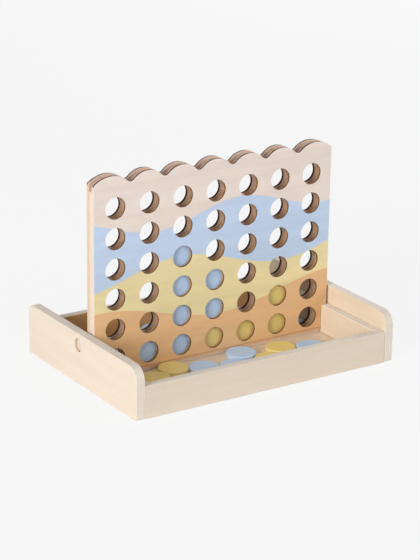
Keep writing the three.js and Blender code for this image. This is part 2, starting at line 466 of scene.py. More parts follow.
STREAKS = Noise((7.0, 95.0, 95.0), detail=3.0)
FIBRES = Noise((38.0, 1100.0, 1100.0), detail=2.0)
PORES = Noise((160.0, 2300.0, 2300.0), detail=1.0)
WOBBLE = Noise((60.0, 60.0, 60.0), detail=2.0)
SPECKLE = Noise((900.0, 900.0, 300.0), detail=3.0)
SOOT = Noise((150.0, 150.0, 60.0), detail=3.0)
WEAR = Noise((170.0, 170.0, 170.0), detail=4.0)
CLOUDS = Noise((90.0, 90.0, 90.0), detail=3.0)


@dataclass(frozen=True)
class Tone:
    """A colour as it looks on a screen, from 0 to 255 a channel."""

    red: float
    green: float
    blue: float

    def linear(self) -> tuple[float, float, float, float]:
        """The colour as light, by the sRGB curve: a straight start, then a power of 2.4.

        Returns:
            Red, green and blue from 0 to 1, and a full alpha.
        """
        share = np.array([self.red, self.green, self.blue]) / 255.0
        light = np.where(share <= 0.04045, share / 12.92, ((share + 0.055) / 1.055) ** 2.4)
        return (float(light[0]), float(light[1]), float(light[2]), 1.0)


Value = float | NodeSocket
Colour = Tone | NodeSocket
Given = Value | Colour | tuple[float, ...]
Sockets = bpy.types.bpy_prop_collection


class Wiring:
    """A node tree that is filled one node at a time."""

    def __init__(self, tree: NodeTree) -> None:
        """Keeps the tree."""
        self.tree = tree

    def feed(self, node: Node, inputs: dict[str | int, Given]) -> None:
        """Sets inputs of a node.

        Args:
            node: The node.
            inputs: A value, a colour, or a socket to link, for each input that is set.
        """
        for key, given in inputs.items():
            if isinstance(given, NodeSocket):
                self.tree.links.new(given, node.inputs[key])
            else:
                node.inputs[key].default_value = given.linear() if isinstance(given, Tone) else given

    def add(self, kind: str, inputs: dict[str | int, Given] | None = None, **settings: object) -> Node:
        """Adds a node.

        Args:
            kind: The node's type.
            inputs: What goes into each input that is set.
            **settings: The node's own settings.

        Returns:
            The node.
        """
        node = self.tree.nodes.new(kind)
        for setting, choice in settings.items():
            setattr(node, setting, choice)
        self.feed(node, inputs or {})
        return node

    def group(self, tree: NodeTree, **inputs: Given) -> Sockets:
        """Places a node group, with its inputs by name, and gives its outputs."""
        return self.add("ShaderNodeGroup", inputs, node_tree=tree).outputs

    def attribute(self, name: str, output: str) -> NodeSocket:
        """A value that the mesh keeps for each point."""
        return self.add("ShaderNodeAttribute", attribute_name=name).outputs[output]

    def grain_place(self) -> NodeSocket:
        """Where a point lies in the wood: lengths along, across and through it."""
        return self.attribute(GRAIN, "Vector")

    def split(self, vector: NodeSocket) -> Sockets:
        """The parts X, Y and Z of a vector."""
        return self.add("ShaderNodeSeparateXYZ", {0: vector}).outputs

    def math(self, operation: str, *values: Value) -> NodeSocket:
        """A sum or another operation on one to three values."""
        return self.add("ShaderNodeMath", dict(enumerate(values)), operation=operation).outputs[0]

    def weighed(self, *parts: tuple[NodeSocket, float]) -> NodeSocket:
        """The sum of values, each times its weight.

        Args:
            *parts: The values and their weights.

        Returns:
            The sum.
        """
        total = 0.0
        for value, weight in parts:
            total = self.math("MULTIPLY_ADD", value, weight, total)
        return total

    def noise(self, place: NodeSocket, kind: Noise) -> NodeSocket:
        """Noise on a place that is stretched by the waves a metre.

        Args:
            place: The place, in metres.
            kind: The kind of noise.

        Returns:
            The value, about 0.5 in the mean.
        """
        scaled = self.add("ShaderNodeVectorMath", {0: place, 1: kind.waves}, operation="MULTIPLY")
        inputs = {"Vector": scaled.outputs[0], "Scale": 1.0, "Detail": kind.detail, "Roughness": kind.share}
        return self.add("ShaderNodeTexNoise", inputs).outputs["Fac"]

    def ease(
        self, value: Value, low: float, high: float, start: float = 0.0, end: float = 1.0
    ) -> NodeSocket:
        """A smooth step from start to end while the value goes from low to high."""
        inputs = {0: value, 1: low, 2: high, 3: start, 4: end}
        return self.add("ShaderNodeMapRange", inputs, interpolation_type="SMOOTHSTEP").outputs[0]

    def blend(self, share: Value, one: Colour, other: Colour) -> NodeSocket:
        """A mix of two colours."""
        return self.add("ShaderNodeMix", {0: share, 6: one, 7: other}, data_type="RGBA").outputs[2]

    def ramp(self, value: Value, stops: Sequence[tuple[float, Tone]]) -> NodeSocket:
        """Colours along a value from 0 to 1.

        Args:
            value: The value.
            stops: A place and a colour for each stop, in order.

        Returns:
            The colour.
        """
        node = self.add("ShaderNodeValToRGB", {0: value})
        elements = node.color_ramp.elements
        for place, tone in stops[1:-1]:
            elements.new(place).color = tone.linear()
        for number in (0, -1):
            place, tone = stops[number]
            elements[number].position = place
            elements[number].color = tone.linear()
        return node.outputs[0]


def open_group(name: str, **inputs: str) -> tuple[Wiring, Sockets]:
    """Starts a shader node group.

    Args:
        name: The group's name.
        **inputs: The kind of socket for each input.

    Returns:
        The wiring, and the sockets that give the inputs.
    """
    tree = bpy.data.node_groups.new(name, "ShaderNodeTree")
    for key, kind in inputs.items():
        tree.interface.new_socket(name=key, in_out="INPUT", socket_type=f"NodeSocket{kind}")
    wiring = Wiring(tree)
    return wiring, wiring.add("NodeGroupInput").outputs


def close_group(wiring: Wiring, **outputs: NodeSocket) -> NodeTree:
    """Gives a shader node group its outputs.

    Args:
        wiring: The group's wiring.
        **outputs: The value that each output passes on.

    Returns:
        The group.
    """
    for key in outputs:
        wiring.tree.interface.new_socket(name=key, in_out="OUTPUT", socket_type="NodeSocketFloat")
    wiring.add("NodeGroupOutput", outputs)
    return wiring.tree


def open_material(name: str) -> tuple[Material, Wiring, Node]:
    """Starts a material with one Principled shader.

    Args:
        name: The material's name.

    Returns:
        The material, its wiring and the shader.
    """
    material = bpy.data.materials.new(name)
    material.use_nodes = True
    return material, Wiring(material.node_tree), material.node_tree.nodes["Principled BSDF"]


@dataclass(frozen=True)
class Effects:
    """The node groups that the finishes share.

    Attributes:
        grain: Streaks, fibres and pores of wood.
        layers: The layers that a plywood edge shows.
        rubbing: Wear along an edge.
    """

    grain: NodeTree
    layers: NodeTree
    rubbing: NodeTree

    @classmethod
    def make(cls) -> "Effects":
        """Builds the three groups."""
        return cls(cls.wood_grain(), cls.ply_layers(), cls.rubbed_edge())

    @staticmethod
    def wood_grain() -> NodeTree:
        """Wood grain as noise drawn out along the fibres.

        Broad streaks, fine fibres and short dark pores are the same noise at three scales, and the
        height is the fibres less the pores.

        Returns:
            The group.
        """
        wiring, given = open_group("wood_grain", Place="Vector")
        place = given["Place"]
        streaks = wiring.ease(wiring.noise(place, STREAKS), low=0.3, high=0.7)
        fibres = wiring.noise(place, FIBRES)
        pores = wiring.ease(wiring.noise(place, PORES), low=0.64, high=0.74)
        height = wiring.weighed((pores, -0.6), (fibres, 1.0))
        return close_group(wiring, Streaks=streaks, Fibres=fibres, Pores=pores, Height=height)

    @staticmethod
    def ply_layers() -> NodeTree:
        """The edge of plywood: every second layer shows its end grain, with glue between them.

        The depth is counted in layers, with a slow wobble, and its whole part says which kind of
        layer it is.

        Returns:
            The group.
        """
        wiring, given = open_group("ply_layers", Place="Vector", Layer="Float")
        place = given["Place"]
        layers = wiring.math("DIVIDE", wiring.split(place)["Z"], given["Layer"])
        depth = wiring.weighed((layers, 1.0), (wiring.noise(place, WOBBLE), 0.16))
        cross = wiring.math("PINGPONG", wiring.math("FLOOR", depth), 1.0)
        part = wiring.math("FRACT", depth)
        near = wiring.math("MINIMUM", part, wiring.math("SUBTRACT", 1.0, part))
        glue = wiring.ease(near, low=0.03, high=0.13, start=1.0, end=0.0)
        return close_group(wiring, Cross=cross, Glue=glue, Speckle=wiring.noise(place, SPECKLE))

    @staticmethod
    def rubbed_edge() -> NodeTree:
        """Wear on a rim: the rim's mask, broken up by noise.

        Returns:
            The group.
        """
        wiring, given = open_group("rubbed_edge", Place="Vector", Rim="Float")
        patches = wiring.ease(wiring.noise(given["Place"], WEAR), low=0.42, high=0.66)
        return close_group(wiring, Wear=wiring.math("MULTIPLY", given["Rim"], patches))


# Finishes


@dataclass(frozen=True)
class Touch:
    """How a kind of finish takes the light.

    Attributes:
        roughness: The roughness between its flecks.
        spread: How much rougher the flecks are.
        strength: How strongly its relief shows.
        relief: The height of that relief.
    """

    roughness: float
    spread: float
    strength: float
    relief: float


@dataclass(frozen=True)
class Coat:
    """What changes over the surface of a finish.

    Attributes:
        colour: Its colour.
        flecks: Where it is rougher.
        height: Its relief.
    """

    colour: NodeSocket
    flecks: NodeSocket
    height: NodeSocket


@dataclass(frozen=True)
class Finish:
    """A finish of wood.

    Attributes:
        touch: How finishes of its kind take the light.
        name: The material's name.
        gloss: How strongly it mirrors, 0.5 for bare wood.
    """

    touch: ClassVar[Touch]
    name: str
    gloss: float = field(default=0.5, kw_only=True)

    def coat(self, wiring: Wiring, effects: Effects) -> Coat:
        """The part that each kind of finish has of its own.

        Args:
            wiring: The material's wiring.
            effects: The shared node groups.

        Returns:
            The colour, the flecks and the relief.
        """
        raise NotImplementedError

    def material(self, effects: Effects) -> Material:
        """Mixes the material: the flecks of its coat roughen it, and the relief bends its normals.

        Args:
            effects: The shared node groups.

        Returns:
            The material.
        """
        material, wiring, shader = open_material(self.name)
        coat, touch = self.coat(wiring, effects), self.touch
        bump = {"Strength": touch.strength, "Distance": touch.relief, "Height": coat.height}
        wiring.feed(shader, {
            "Base Color": coat.colour,
            "Roughness": wiring.math("MULTIPLY_ADD", coat.flecks, touch.spread, touch.roughness),
            "Specular IOR Level": self.gloss,
            "Normal": wiring.add("ShaderNodeBump", bump).outputs[0],
        })
        return material


@dataclass(frozen=True)
class VeneerFinish(Finish):
    """Pale wood under a matt lacquer.

    Attributes:
        pale: The colour between the streaks.
        deep: The colour of the streaks.
        pores: The colour of the pores.
    """

    touch: ClassVar[Touch] = Touch(roughness=0.52, spread=0.16, strength=0.5, relief=0.05 * MM)
    pale: Tone
    deep: Tone
    pores: Tone

    def coat(self, wiring: Wiring, effects: Effects) -> Coat:
        """Streaks and fibres shade the pale colour, pores darken it, and the fibres stand proud.

        Args:
            wiring: The material's wiring.
            effects: The shared node groups.

        Returns:
            The colour, the flecks and the relief.
        """
        grain = wiring.group(effects.grain, Place=wiring.grain_place())
        shade = wiring.weighed((grain["Streaks"], 0.5), (grain["Fibres"], 0.55))
        wood = wiring.blend(wiring.ease(shade, low=0.15, high=0.85), self.pale, self.deep)
        colour = wiring.blend(wiring.weighed((grain["Pores"], 0.45)), wood, self.pores)
        return Coat(colour, grain["Fibres"], grain["Height"])


@dataclass(frozen=True)
class LayerFinish(Finish):
    """The sawn edge of plywood.

    Attributes:
        long_grain: The colour of the layers that run along the edge.
        end_grain: The colour of the layers that end there.
        glue: The colour between the layers.
        layer: The thickness of one layer.
    """

    touch: ClassVar[Touch] = Touch(roughness=0.58, spread=0.2, strength=0.5, relief=0.08 * MM)
    long_grain: Tone
    end_grain: Tone
    glue: Tone
    layer: float

    def coat(self, wiring: Wiring, effects: Effects) -> Coat:
        """Two kinds of layers in turn, a thin glue line between them and a fine speckle.

        Args:
            wiring: The material's wiring.
            effects: The shared node groups.

        Returns:
            The colour, the flecks and the relief.
        """
        edge = wiring.group(effects.layers, Place=wiring.grain_place(), Layer=self.layer)
        layers = wiring.blend(edge["Cross"], self.long_grain, self.end_grain)
        glued = wiring.blend(wiring.weighed((edge["Glue"], 0.6)), layers, self.glue)
        flecks = wiring.ease(edge["Speckle"], low=0.45, high=0.75, end=0.35)
        colour = wiring.blend(flecks, glued, self.glue)
        return Coat(colour, edge["Speckle"], edge["Speckle"])


@dataclass(frozen=True)
class BurntFinish(Finish):
    """An edge that a laser has cut through three layers of ply, its char at the holes darkened and widened
    to paint shade as well.

    Attributes:
        char: The colour at the two faces.
        outer: The colour of the layer at the inner face.
        core: The colour of the middle layer.
        thickness: The thickness of the ply.
        charred: The share of the thickness that is charred at the outer face.
        scorched: The share over which the inner face's char fades out.
        layer_end: Where the layer at the inner face ends, as a share of the thickness.
        fade: The share over which one colour runs into the next.
    """

    touch: ClassVar[Touch] = Touch(roughness=0.6, spread=0.2, strength=0.4, relief=0.06 * MM)
    scorched: ClassVar[float] = 0.1
    layer_end: ClassVar[float] = 0.31
    fade: ClassVar[float] = 0.05
    char: Tone
    outer: Tone
    core: Tone
    thickness: float
    charred: float

    def coat(self, wiring: Wiring, effects: Effects) -> Coat:
        """A ramp through the thickness, dark at both faces and more so at the outer one.

        Sooty patches run along the cut.

        Args:
            wiring: The material's wiring.
            effects: The shared node groups.

        Returns:
            The colour, the flecks and the relief.
        """
        place = wiring.grain_place()
        edge = wiring.group(effects.layers, Place=place, Layer=self.thickness / 3.0)
        depth = wiring.math("DIVIDE", wiring.split(place)["Z"], self.thickness)
        clean = 1.0 - self.charred
        cut = wiring.ramp(depth, [
            (0.0, self.char),
            (self.scorched, self.outer),
            (self.layer_end, self.outer),
            (self.layer_end + self.fade, self.core),
            (clean - self.fade, self.core),
            (clean, self.char),
        ])
        soot = wiring.ease(wiring.noise(place, SOOT), low=0.4, high=0.72, end=0.45)
        return Coat(wiring.blend(soot, cut, self.char), edge["Speckle"], edge["Speckle"])


@dataclass(frozen=True)
class Wave:
    """The line between two colour fields of the print.

    Attributes:
        height: The mean height of the line.
        swing: How far it swings up and down.
        length: The length of one swing.
        phase: Where the swing starts, in turns.
    """

    height: float
    swing: float = 0.0
    length: float = 272 * MM
    phase: float = 0.0


@dataclass(frozen=True)
class PrintFinish(Finish):
    """Flat pastel colour fields on veneer, one below the other: print, and at the foot a painted shadow
    line.

    Attributes:
        top: The colour of the highest field.
        fields: The line at the top of each lower field, and its colour, from the top down.
        blur: Half the width over which two fields run into each other.
    """

    touch: ClassVar[Touch] = Touch(roughness=0.46, spread=0.12, strength=0.35, relief=0.04 * MM)
    top: Tone
    fields: Sequence[tuple[Wave, Tone]]
    blur: float = 0.12 * MM

    def coat(self, wiring: Wiring, effects: Effects) -> Coat:
        """Each field covers the last one below its wave, and the grain shows faintly through.

        Args:
            wiring: The material's wiring.
            effects: The shared node groups.

        Returns:
            The colour, the flecks and the relief.
        """
        where = wiring.split(wiring.add("ShaderNodeTexCoord").outputs["Object"])
        colour = self.top
        for wave, tone in self.fields:
            turn = wiring.math("MULTIPLY_ADD", where["X"], math.tau / wave.length, math.tau * wave.phase)
            line = wiring.math("MULTIPLY_ADD", wiring.math("SINE", turn), wave.swing, wave.height)
            below = wiring.ease(wiring.math("SUBTRACT", line, where["Z"]), -self.blur, self.blur)
            colour = wiring.blend(below, colour, tone)
        grain = wiring.group(effects.grain, Place=wiring.grain_place())
        shade = wiring.weighed((grain["Streaks"], 0.5), (grain["Fibres"], 0.5))
        ink = wiring.ease(shade, low=0.2, high=0.8, start=1.03, end=0.95)
        printed = wiring.add("ShaderNodeVectorMath", {0: colour, 3: ink}, operation="SCALE")
        return Coat(printed.outputs[0], grain["Fibres"], grain["Height"])


@dataclass(frozen=True)
class PaintFinish(Finish):
    """Satin paint on a turned wooden disc.

    Attributes:
        colour: The paint.
        deep: The paint where it lies thicker.
        worn: The colour of a rubbed rim.
    """

    touch: ClassVar[Touch] = Touch(roughness=0.4, spread=0.14, strength=0.4, relief=0.04 * MM)
    colour: Tone
    deep: Tone
    worn: Tone

    def coat(self, wiring: Wiring, effects: Effects) -> Coat:
        """Paint with a slight tone of its own on each disc, fibres below it and a rubbed rim.

        Args:
            wiring: The material's wiring.
            effects: The shared node groups.

        Returns:
            The colour, the flecks and the relief.
        """
        place = wiring.grain_place()
        grain = wiring.group(effects.grain, Place=place)
        clouds = wiring.noise(place, CLOUDS)
        shade = wiring.weighed((clouds, 0.3), (grain["Fibres"], 0.3), (wiring.attribute(TONE, "Fac"), 0.5))
        paint = wiring.blend(wiring.ease(shade, low=0.15, high=0.95), self.colour, self.deep)
        wear = wiring.group(effects.rubbing, Place=place, Rim=wiring.attribute(RIM, "Fac"))["Wear"]
        colour = wiring.blend(wiring.weighed((wear, 0.4)), paint, self.worn)
        return Coat(colour, grain["Fibres"], grain["Height"])


# Pieces of the game


@dataclass
class Tray:
    """The storage tray: a floor, two walls, two ledges and two high end panels.

    Attributes:
        top_radius: The round corner at the top of an end panel, in front.
        rear_radius: The round corner at its top, at the rear.
        foot_radius: The small ones at its foot.
        corner_steps: The steps of a round corner.
        slot_clearance: The room on each side of the board in the ledges' slots.
        plug_radius: The round well in the outer face of an end panel.
        plug_height: The height of its middle.
        plug_shift: How far its middle lies behind that of the panel.
        plug_recess: How deep the plug's face lies in it.
        plug_seam: The narrow gap round the plug.
        fan_steps: The steps of an end panel's straight stretches, seen from the plug.
        boards: The tray's seven boards.
    """

    top_radius: float = 14 * MM
    rear_radius: float = 8.5 * MM
    foot_radius: float = 3 * MM
    corner_steps: int = 12
    slot_clearance: float = 0.4 * MM
    plug_radius: float = 6.5 * MM
    plug_height: float = 39.2 * MM
    plug_shift: float = 4.6 * MM
    plug_recess: float = 1.7 * MM
    plug_seam: float = 0.6 * MM
    fan_steps: Sequence[int] = (4, 44, 4, 36)
    boards: Timber = field(default_factory=lambda: Timber("tray", "tray_ply", eased=1.1 * MM, step=0.37))

    def build(self) -> None:
        """Builds the seven boards of the tray."""
        # Faces inside the tray take a warmer copy of the veneer, painted shade.
        self.add_board("tray_floor", Run.FLAT, (TrayFace.VENEER, TrayFace.INSIDE))
        self.add_board("tray_wall_front", Run.LONG, (TrayFace.VENEER, TrayFace.INSIDE))
        # The rear wall's inner face takes the browner copy of the veneer, which paints the deep shade
        # behind the board.
        self.add_board("tray_wall_rear", Run.LONG, (TrayFace.BROWN, TrayFace.VENEER))
        for ledge in ("ledge_left", "ledge_right"):
            faces = (TrayFace.INSIDE, TrayFace.INSIDE)
            self.boards.add(ledge, self.ledge_drawing(ledge).plate(ledge, Axis.X, faces), Run.DEEP)
        self.add_end("end_panel_left", -1.0)
        self.add_end("end_panel_right", 1.0)

    def dress(self, finishes: Sequence[Material]) -> list[Object]:
        """Gives every board its finishes, in the order of TrayFace."""
        return self.boards.dress(finishes)

    @property
    def plug(self) -> np.ndarray:
        """The middle of the plug, seen along X."""
        return np.array([self.plug_shift, self.plug_height])

    def add_board(self, node: str, run: Run, faces: tuple[TrayFace, TrayFace]) -> None:
        """Adds a plain board.

        Args:
            node: The solid that it stands for.
            run: How its wood runs.
            faces: The material slots of its lower and its upper face.
        """
        outline = block(node, run.through, TrayFace.EDGE)
        self.boards.add(node, outline.plate(node, run.through, faces), run)

    def ledge_drawing(self, node: str) -> Drawing:
        """A ledge seen along X: two blocks on a web, with the board's slot between them.

        Args:
            node: The ledge's solid.

        Returns:
            The drawing, cut into grids at the slot's sides and at its bottom.
        """
        (front, bottom), (rear, top) = flat_span(node, Axis.X)
        panel_low, panel_high = span("board_panel_rear")
        half = panel_high[Axis.Y] + self.slot_clearance
        web = panel_low[Axis.Z]
        heights = (bottom, web, top)
        fills = [
            grid((front, -half), heights),
            grid((-half, half), heights[:2]),
            grid((half, rear), heights),
        ]
        loop = np.array([
            (front, bottom), (-half, bottom), (half, bottom), (rear, bottom), (rear, web), (rear, top),
            (half, top), (half, web), (-half, web), (-half, top), (front, top), (front, web),
            (front, bottom),
        ])
        return Drawing(fills, [Edge(loop, TrayFace.EDGE)])

    def end_outline(self, node: str) -> np.ndarray:
        """An end panel's outline seen along X: four round corners, joined by straight stretches.

        The stretches have their points at even angles seen from the plug, where the ray at each
        angle meets the straight line between two corners.

        Args:
            node: The panel's solid.

        Returns:
            The points from the rear foot corner on, by way of the rear top corner, closed.
        """
        low, high = flat_span(node, Axis.X)
        foot, top, rear, steps = self.foot_radius, self.top_radius, self.rear_radius, self.corner_steps
        corners = [
            arc((high[0] - foot, low[1] + foot), foot, -90.0, 0.0, steps),
            arc((high[0] - rear, high[1] - rear), rear, 0.0, 90.0, steps),
            arc((low[0] + top, high[1] - top), top, 90.0, 180.0, steps),
            arc((low[0] + foot, low[1] + foot), foot, 180.0, 270.0, steps),
        ]
        parts = []
        for corner, next_corner, count in zip(corners, [*corners[1:], corners[0]], self.fan_steps):
            start = corner[-1] - self.plug
            end = next_corner[0] - self.plug
            turn = math.atan2(start[0] * end[1] - start[1] * end[0], start @ end)
            shares = np.linspace(0.0, 1.0, count + 1)[1:-1]
            rays = directions(math.atan2(start[1], start[0]) + turn * shares)
            normal = np.array([end[1] - start[1], start[0] - end[0]])
            parts.append(corner)
            parts.append(self.plug + rays * ((normal @ start) / (rays @ normal))[:, None])
        return np.concatenate([*parts, corners[0][:1]])

    def add_end(self, node: str, side: float) -> None:
        """Adds an end panel, whose outer face runs from its outline in to the plug's well.

        The well is a profile turned about the plug's axis: down the wall, round the narrow seam
        and over the plug's eased edge to its middle.

        Args:
            node: The panel's solid.
            side: -1 for the left end, 1 for the right one.
        """
        low, high = span(node)
        outside, inside = (low[0], high[0]) if side < 0 else (high[0], low[0])
        outline = self.end_outline(node)
        ray = outline - self.plug
        angles = np.unwrap(np.arctan2(ray[:, 1], ray[:, 0]))
        radius, recess, seam = self.plug_radius, self.plug_recess, self.plug_seam
        bottom = recess + 3 * seam
        profile = np.array([
            (radius, 0.0), (radius, bottom), (radius - seam, bottom), (radius - seam, recess + seam),
            (radius - 1.3 * seam, recess + 0.3 * seam), (radius - 2 * seam, recess),
            (radius - 4 * seam, recess), (0.0, recess),
        ])
        well = turned(profile * (1.0, -side), angles, Axis.X, np.array([outside, *self.plug]))
        outer = lifted(outline, Axis.X, outside)
        inner = lifted(outline, Axis.X, inside)
        middle = lifted(np.broadcast_to(self.plug, outline.shape), Axis.X, inside)
        patches = [
            Patch(np.stack([outer, well[0]]), TrayFace.VENEER),
            # The inner face and the wall of the plug's well take the warmer copy of the veneer, painted
            # shade.
            Patch(np.stack([inner, middle]), TrayFace.INSIDE),
            Patch(np.stack([outer, inner]), TrayFace.EDGE),
            Patch(well[:3], TrayFace.INSIDE),
            Patch(well[2:], TrayFace.PLUG),
        ]
        self.boards.add(node, patches, Run.DEEP)


@dataclass
class Board:
    """The upright board: two perforated panels with a scalloped top, and the strips between them.

    Attributes:
        columns: The number of columns.
        rows: The number of rows.
        column_pitch: From the middle of one column to the next.
        row_pitch: From the middle of one row to the next.
        lowest_row: The height of the lowest row.
        hole_radius: The radius of a hole.
        scallop_pitch: From one valley of the top edge to the next.
        scallop_height: How far a scallop rises above the valleys.
        end_shift: How far out of its place the crest of an end scallop lies.
        end_drop: How far the outer half of an end scallop falls.
        valley_radius: The round bottom of a valley.
        corner_radius: The round corner at each end of the top edge.
        rear_char: How much deeper the char goes in the rear panel: real char, and in its holes painted
            shade as well.
        foot_step: How far the bottom strip's foot stands back from the panels' faces.
        foot_joint: The thin joint between that foot and the panels on it.
        side_steps: The steps of each side of the grid cell round a hole.
        valley_steps: The steps of half a valley, and of a corner.
        panels: The two panels.
        strips: The strips between them.
    """

    columns: int = 7
    rows: int = 6
    column_pitch: float = 37.2 * MM
    row_pitch: float = 30 * MM
    lowest_row: float = 22 * MM
    hole_radius: float = 10.75 * MM
    scallop_pitch: float = 38 * MM
    scallop_height: float = 8 * MM
    end_shift: float = 1.2 * MM
    end_drop: float = 7 * MM
    valley_radius: float = 5 * MM
    corner_radius: float = 2.5 * MM
    rear_char: float = 0.9 * MM
    foot_step: float = 0.25 * MM
    foot_joint: float = 0.05 * MM
    side_steps: int = 20
    valley_steps: int = 3
    panels: Timber = field(
        default_factory=lambda: Timber("board", "printed_panels", eased=0.18 * MM, step=0.53)
    )
    strips: Timber = field(
        default_factory=lambda: Timber("board", "board_strips", eased=0.3 * MM, step=0.29)
    )

    def build(self) -> None:
        """Builds the two panels and the strips between them."""
        self.add_panel("board_panel_front", (BoardFace.PRINT, BoardFace.RAW))
        self.add_panel("board_panel_rear", (BoardFace.RAW, BoardFace.PRINT))
        self.add_bottom("board_strip_bottom")
        dividers = [f"board_divider_{number}" for number in range(1, self.columns)]
        for node in ("board_strip_left", "board_strip_right", *dividers):
            self.strips.add(node, block(node, Axis.Y).plate(node, Axis.Y), Run.TALL)

    def dress(self, panel_finishes: Sequence[Sequence[Material]], strip_finish: Material) -> list[Object]:
        """Gives the panels and the strips their finishes.

        Args:
            panel_finishes: For each panel, the finish of its faces in the order of BoardFace.
            strip_finish: The wood of the strips.

        Returns:
            The finished objects.
        """
        return [*self.panels.dress(*panel_finishes), *self.strips.dress([strip_finish])]

    def scallop_side(self, reach: float) -> tuple[float, float]:
        """The shape of a crest that runs down into a valley.

        Crest and valley touch where both slope by twice the angle whose tangent is the scallop's
        height over its reach, and that point lies between their middles.

        Args:
            reach: From the crest's middle to the valley's.

        Returns:
            The slope, in degrees, and the crest's radius.
        """
        slope = 2 * math.atan2(self.scallop_height, reach)
        return math.degrees(slope), reach / math.sin(slope) - self.valley_radius

    def end_line(self, reach: float, crest: float) -> np.ndarray:
        """The left end scallop, from the panel's side to the first valley.

        A small round corner joins the side to the outer half, a flat arc whose radius is half the
        sum of reach squared over drop and the drop, and the inner half runs into half a valley.

        Args:
            reach: From the crest to the panel's side.
            crest: The height of the crest.

        Returns:
            The points, with the crest at 0.
        """
        drop, round_out, round_in = self.end_drop, self.corner_radius, self.valley_radius
        half_steps = self.side_steps // 2 - self.valley_steps
        radius = (reach**2 / drop + drop) / 2
        across = reach - round_out
        rise = math.sqrt((radius - round_out) ** 2 - across**2)
        turn = 180.0 - math.degrees(math.atan2(rise, across))
        middle = np.array([0.0, crest - radius])
        corner = arc(middle + (-across, rise), round_out, 180.0, turn, self.valley_steps)
        outer = arc(middle, radius, turn, 90.0, half_steps)
        inward = self.scallop_pitch / 2 + self.end_shift
        slope, inner_radius = self.scallop_side(inward)
        inner = arc((0.0, crest - inner_radius), inner_radius, 90.0, 90.0 - slope, half_steps)
        bottom = crest - self.scallop_height + round_in
        falling = arc((inward, bottom), round_in, -90.0 - slope, -90.0, self.valley_steps)
        return joined(corner, outer, inner, falling)

    def scallop_lines(self, half_width: float, crest: float) -> list[np.ndarray]:
        """The top edge over each column: a crest between two half valleys, and the two ends.

        Args:
            half_width: From the middle of the panel to its side.
            crest: The height of the scallops' tops.

        Returns:
            For each column from the left, the points of its line.
        """
        half, round_in = self.scallop_pitch / 2, self.valley_radius
        slope, radius = self.scallop_side(half)
        bottom = crest - self.scallop_height + round_in
        crest_steps = self.side_steps - 2 * self.valley_steps
        rising = arc((-half, bottom), round_in, -90.0, slope - 90.0, self.valley_steps)
        over = arc((0.0, crest - radius), radius, 90.0 + slope, 90.0 - slope, crest_steps)
        falling = arc((half, bottom), round_in, -90.0 - slope, -90.0, self.valley_steps)
        inner = joined(rising, over, falling)
        places = (np.arange(self.columns) - (self.columns - 1) / 2) * self.scallop_pitch
        end_place = places[0] - self.end_shift
        end = self.end_line(half_width + end_place, crest) + (end_place, 0.0)
        inside = [inner + (place, 0.0) for place in places[1:-1]]
        return [end, *inside, end[::-1] * (-1.0, 1.0)]

    def panel_drawing(self, node: str) -> Drawing:
        """A panel seen from the front.

        Each hole has a cell, a grid of two rings: a circle, and the rectangle round it with as many
        points, so that the cells meet point to point. Over the top row a strip of one cell for each
        column rises to its scallop.

        Args:
            node: The panel's solid.

        Returns:
            The drawing.
        """
        low, high = flat_span(node, Axis.Y)
        steps = self.side_steps
        square = np.stack([divided((0, 1, 1, 0, 0), steps), divided((0, 0, 1, 1, 0), steps)], axis=-1)
        ring = arc((0.0, 0.0), self.hole_radius, -135.0, 225.0, 4 * steps)
        middles = (np.arange(self.columns) - (self.columns - 1) / 2) * self.column_pitch
        valleys = (np.arange(1, self.columns) - self.columns / 2) * self.scallop_pitch
        column_edges = np.concatenate([low[:1], valleys, high[:1]])
        row_edges = self.lowest_row + (np.arange(self.rows + 1) - 0.5) * self.row_pitch
        row_edges[0] = low[1]
        fills = []
        edges = []
        for column, row in np.ndindex(self.columns, self.rows):
            hole_shade_and_char = ring + (middles[column], self.lowest_row + row * self.row_pitch)
            corner = np.array([column_edges[column], row_edges[row]])
            size = np.array([column_edges[column + 1], row_edges[row + 1]]) - corner
            fills.append(np.stack([hole_shade_and_char, corner + square * size]))
            edges.append(Edge(hole_shade_and_char, BoardFace.HOLE))
        lines = self.scallop_lines(*high)
        for line, start, end in zip(lines, column_edges[:-1], column_edges[1:]):
            across = divided((start, end), steps)[:, None]
            fills.append(np.stack([lifted(across, Axis.Y, row_edges[-1]), line]))
            edges.append(Edge(line, BoardFace.CREST))
        heights = np.append(divided(row_edges, steps), lines[0][0, 1])[:, None]
        foot = divided(column_edges, steps)[:, None]
        sides = [lifted(heights, Axis.X, side) for side in (low[0], high[0])]
        sides.append(lifted(foot, Axis.Y, low[1]))
        return Drawing(fills, edges + [Edge(side, BoardFace.SIDE) for side in sides])

    def add_panel(self, node: str, slots: tuple[BoardFace, BoardFace]) -> None:
        """Adds a panel, whose depth is counted from its raw face to its printed one.

        Args:
            node: The solid that it stands for.
            slots: The material slots of its front and its rear face.
        """
        low, high = span(node)
        raw_first = slots[0] == BoardFace.RAW
        # The rear panel's depth starts further out, which widens the dark at the rear of its walls: char,
        # and at the holes painted shade.
        start = np.array([low[0], low[1] - self.rear_char if raw_first else high[1], low[2]])
        patches = self.panel_drawing(node).plate(node, Axis.Y, slots)
        self.panels.add(node, patches, Run.LONG, start, 1.0 if raw_first else -1.0)

    def add_bottom(self, node: str) -> None:
        """Adds the bottom strip: a bar between the panels, on a foot that reaches under them.

        Args:
            node: The solid that it stands for.
        """
        low, high = span(node)
        panel = span("board_panel_front")[0]
        half = high[Axis.Y]
        foot = -panel[Axis.Y] - self.foot_step
        base, neck, top = low[Axis.Z], panel[Axis.Z] - self.foot_joint, high[Axis.Z]
        fills = [grid((-foot, -half, half, foot), (base, neck)), grid((-half, half), (neck, top))]
        loop = np.array([
            (-foot, base), (-half, base), (half, base), (foot, base), (foot, neck), (half, neck),
            (half, top), (-half, top), (-half, neck), (-foot, neck), (-foot, base),
        ])
        self.strips.add(node, Drawing(fills, [Edge(loop)]).plate(node, Axis.X), Run.LONG)


